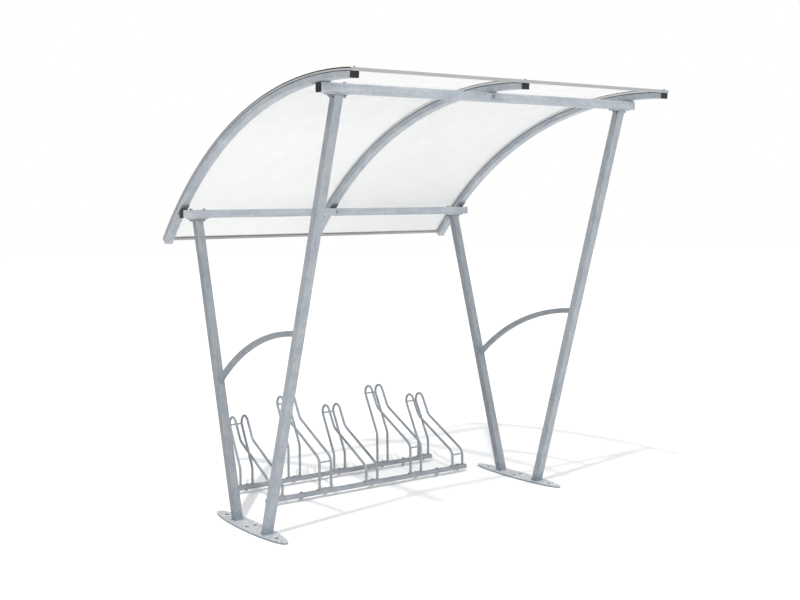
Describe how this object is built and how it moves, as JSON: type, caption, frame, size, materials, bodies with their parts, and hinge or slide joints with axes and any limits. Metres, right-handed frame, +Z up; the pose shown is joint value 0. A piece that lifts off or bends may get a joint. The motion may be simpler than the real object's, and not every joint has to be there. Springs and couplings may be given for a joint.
{
  "type": "bike shelter",
  "caption": "Open bike shelter: leaning steel frames on oval base plates carry a curved translucent roof over a floor rack of bent-bar wheel holders.",
  "frame": {"origin": "on the ground below the middle of the roof's plan", "axes": "+Z up, +X along the shelter with its high open front on the left-hand side of +X (at -Y), +Y towards the low rear eaves"},
  "size_m": [2.218, 2.2186, 2.491],
  "materials": {
    "galvanised_steel": "hot-dip galvanised, faint spangle, satin",
    "black_plastic": "moulded, matt",
    "black_rubber": "extruded seal, matt",
    "dark_trim": "extruded, matt",
    "aluminium": "extruded, natural anodised",
    "roof_sheet": "translucent fluted twin-wall polycarbonate"
  },
  "bodies": {
    "root": {"base_plate_left": "galvanised_steel", "base_plate_right": "galvanised_steel", "post_front_left": "galvanised_steel", "post_front_right": "galvanised_steel", "post_rear_left": "galvanised_steel", "post_rear_right": "galvanised_steel", "top_plate_front_left": "galvanised_steel", "top_plate_front_right": "galvanised_steel", "top_plate_rear_left": "galvanised_steel", "top_plate_rear_right": "galvanised_steel", "brace_left": "galvanised_steel", "brace_right": "galvanised_steel", "front_beam": "galvanised_steel", "rear_beam": "galvanised_steel", "cleats_front": "galvanised_steel", "cleats_rear": "galvanised_steel", "arch_left": "galvanised_steel", "arch_middle": "galvanised_steel", "arch_right": "galvanised_steel", "rack_rail_front": "galvanised_steel", "rack_rail_rear": "galvanised_steel", "rack_feet": "galvanised_steel", "wheel_holder_1": "galvanised_steel", "wheel_holder_2": "galvanised_steel", "wheel_holder_3": "galvanised_steel", "wheel_holder_4": "galvanised_steel", "wheel_holder_5": "galvanised_steel", "beam_caps_front": "black_plastic", "beam_caps_rear": "black_plastic", "arch_caps": "black_plastic", "gasket_left": "black_rubber", "gasket_middle": "black_rubber", "gasket_right": "black_rubber", "cover_strip_left": "dark_trim", "cover_strip_middle": "dark_trim", "cover_strip_right": "dark_trim", "glazing_bar_left": "aluminium", "glazing_bar_middle": "aluminium", "glazing_bar_right": "aluminium", "front_channel": "aluminium", "rear_channel": "aluminium", "roof_sheet_left": "roof_sheet", "roof_sheet_right": "roof_sheet"}
  },
  "joints": []
}
